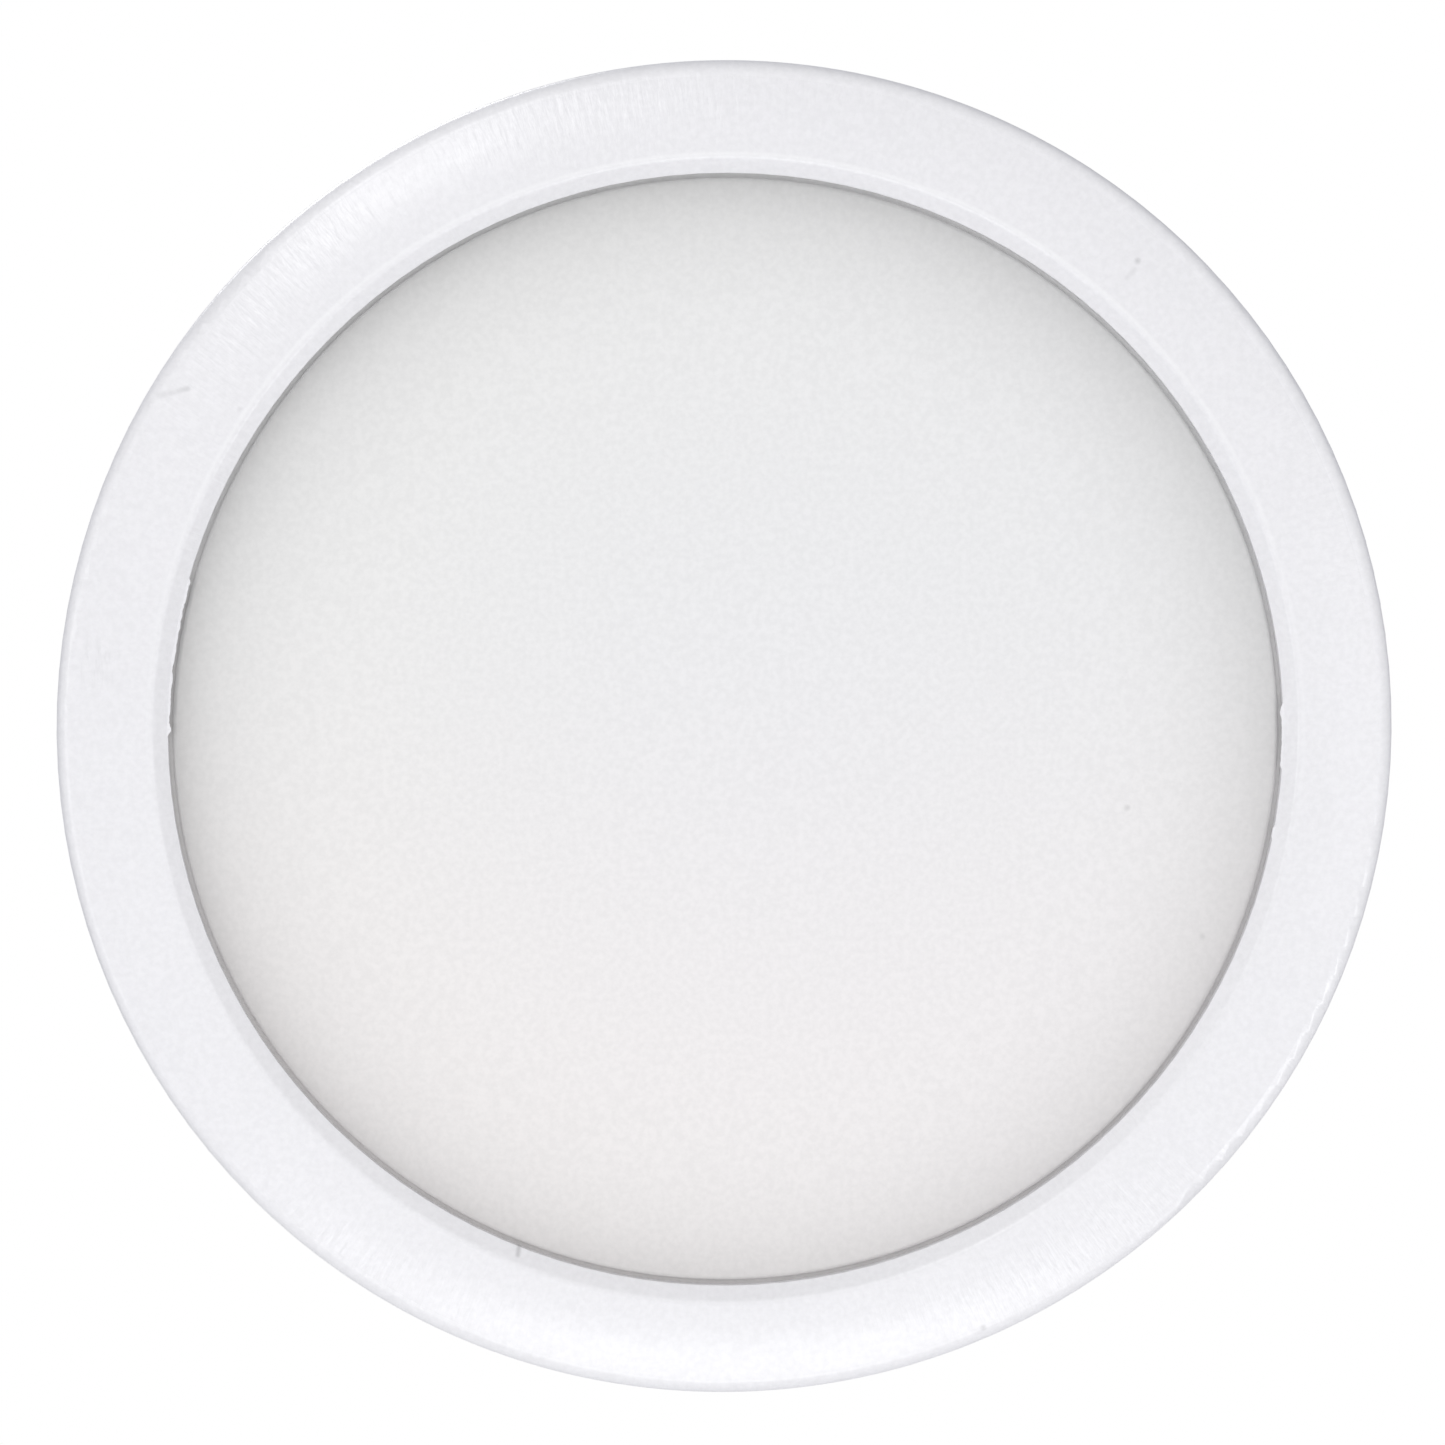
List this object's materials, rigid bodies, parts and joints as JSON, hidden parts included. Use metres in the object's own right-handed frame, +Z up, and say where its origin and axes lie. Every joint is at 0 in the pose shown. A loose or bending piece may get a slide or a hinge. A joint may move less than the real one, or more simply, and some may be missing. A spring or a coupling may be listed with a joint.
{
  "type": "underwater pool light",
  "caption": "Round flat surface-mounted underwater pool light: white face ring, opal lens, sealed LED engine and driver, cable gland and a twist-on wall bracket.",
  "frame": {"origin": "centre of the wall bracket's back face, which is also the centre of the three wall screws' circle", "axes": "+Y into the wall along the lamp's axis, +Z up, so the lit face looks along -Y and +X is to the right of somebody who looks at the lamp"},
  "size_m": [0.16, 0.0532, 0.16],
  "materials": {
    "white_asa": "satin",
    "opal_polycarbonate": "matte",
    "grey_silicone": "matte",
    "white_abs": "satin",
    "stainless_steel": "satin",
    "bracket_abs": "matte",
    "spring_steel": "polished",
    "white_acetal": "satin",
    "grey_nylon": "satin",
    "black_rubber": "matte",
    "bare_aluminium": "satin",
    "thermal_silicone": "matte",
    "board_white": "satin",
    "led_ceramic": "matte",
    "led_phosphor": "gloss",
    "black_epoxy": "matte",
    "red_pvc": "satin",
    "black_pvc": "satin",
    "board_green": "gloss",
    "green_polyamide": "satin",
    "tinned_brass": "satin",
    "capacitor_can": "satin",
    "ferrite": "matte",
    "yellow_epoxy": "satin",
    "chip_ceramic": "matte"
  },
  "bodies": {
    "bracket": {"wall_bracket": "bracket_abs", "detent_spring": "spring_steel", "detent_rivets": "stainless_steel"},
    "head": {"bezel_ring": "white_asa", "diffuser_lens": "opal_polycarbonate", "lens_gasket": "grey_silicone", "rear_housing": "white_abs", "clamp_screws": "stainless_steel", "gland_body": "grey_nylon", "gland_o_ring": "black_rubber", "gland_seal": "black_rubber", "gland_locknut": "grey_nylon", "heat_spreader": "bare_aluminium", "thermal_pad": "thermal_silicone", "led_board": "board_white", "led_packages": "led_ceramic", "led_phosphors": "led_phosphor", "led_resistors": "black_epoxy", "led_board_screws": "stainless_steel", "led_lead_red": "red_pvc", "led_lead_black": "black_pvc", "driver_board": "board_green", "driver_screws": "stainless_steel", "terminal_block": "green_polyamide", "terminal_screws": "tinned_brass", "capacitors": "capacitor_can", "inductors": "ferrite", "bridge_rectifier": "black_epoxy", "driver_ics": "black_epoxy", "fuse_disc": "yellow_epoxy", "driver_chips": "chip_ceramic"},
    "lock_cam": {"lock_cam": "white_acetal", "lock_cam_clip": "spring_steel"},
    "gland_clamp": {"gland_clamp": "white_acetal"},
    "gland_nut": {"gland_nut": "grey_nylon"}
  },
  "joints": [
    {"name": "head_twist", "type": "hinge", "parent": "bracket", "child": "head", "pos_m": [0, 0, 0], "axis": [0, -1, 0], "range_deg": [0, 24], "deforming": ["detent_spring"]},
    {"name": "lock_cam_turn", "type": "hinge", "parent": "head", "child": "lock_cam", "pos_m": [0, -0.012, -0.0746], "axis": [0, 0, -1], "range_deg": [0, 90]},
    {"name": "gland_clamp_travel", "type": "slide", "parent": "head", "child": "gland_clamp", "axis": [0, 1, 0], "range_m": [0, 0.0031]},
    {"name": "gland_nut_turn", "type": "hinge", "parent": "gland_clamp", "child": "gland_nut", "pos_m": [0, 0.008, 0], "axis": [0, 1, 0], "range_deg": [0, 720]}
  ],
  "couplings": [
    {"joint": "gland_clamp_travel", "follows": "gland_nut_turn", "m_per_rad": 0.00023873}
  ]
}
